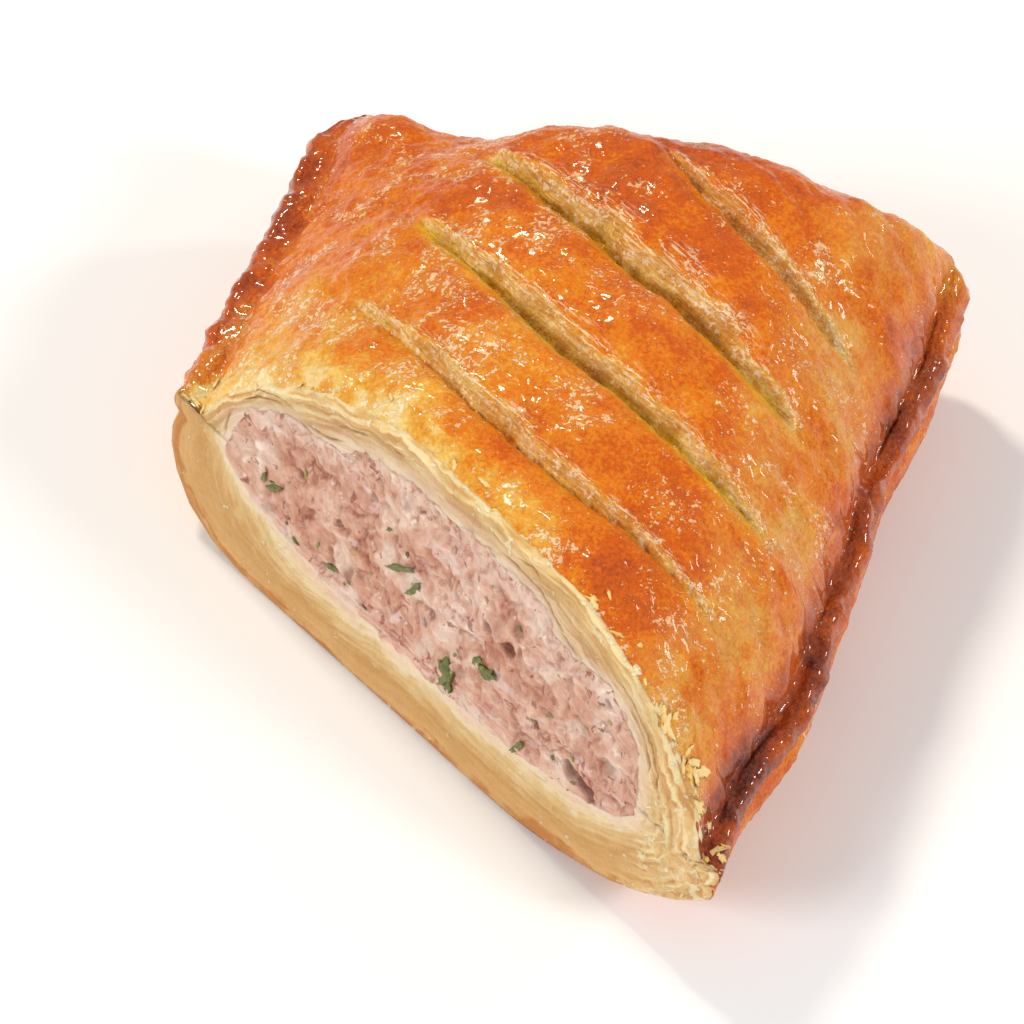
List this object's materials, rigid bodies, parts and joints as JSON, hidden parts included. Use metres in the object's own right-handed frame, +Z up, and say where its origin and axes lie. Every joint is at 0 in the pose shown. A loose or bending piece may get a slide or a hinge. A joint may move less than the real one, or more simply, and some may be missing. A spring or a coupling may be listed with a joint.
{
  "type": "cut half of a sausage roll",
  "caption": "Half of a puff pastry sausage roll, cut on the slant, with a slashed domed lid, a flat base and sausage meat flecked with herbs.",
  "frame": {"origin": "centre of the bounding box, on the plane of the flat base", "axes": "+Z up; X across the roll; +Y along the roll from the slanting cut towards the closed end"},
  "size_m": [0.0732, 0.0864, 0.0337],
  "materials": {
    "baked_pastry": "golden brown glazed puff pastry, glossy on the lid, pale and flaky at the cut",
    "sausage_meat": "moist pinkish beige sausage meat with green herb flecks"
  },
  "bodies": {
    "root": {"pastry_crust": "baked_pastry", "sausage_filling": "sausage_meat"}
  },
  "joints": []
}
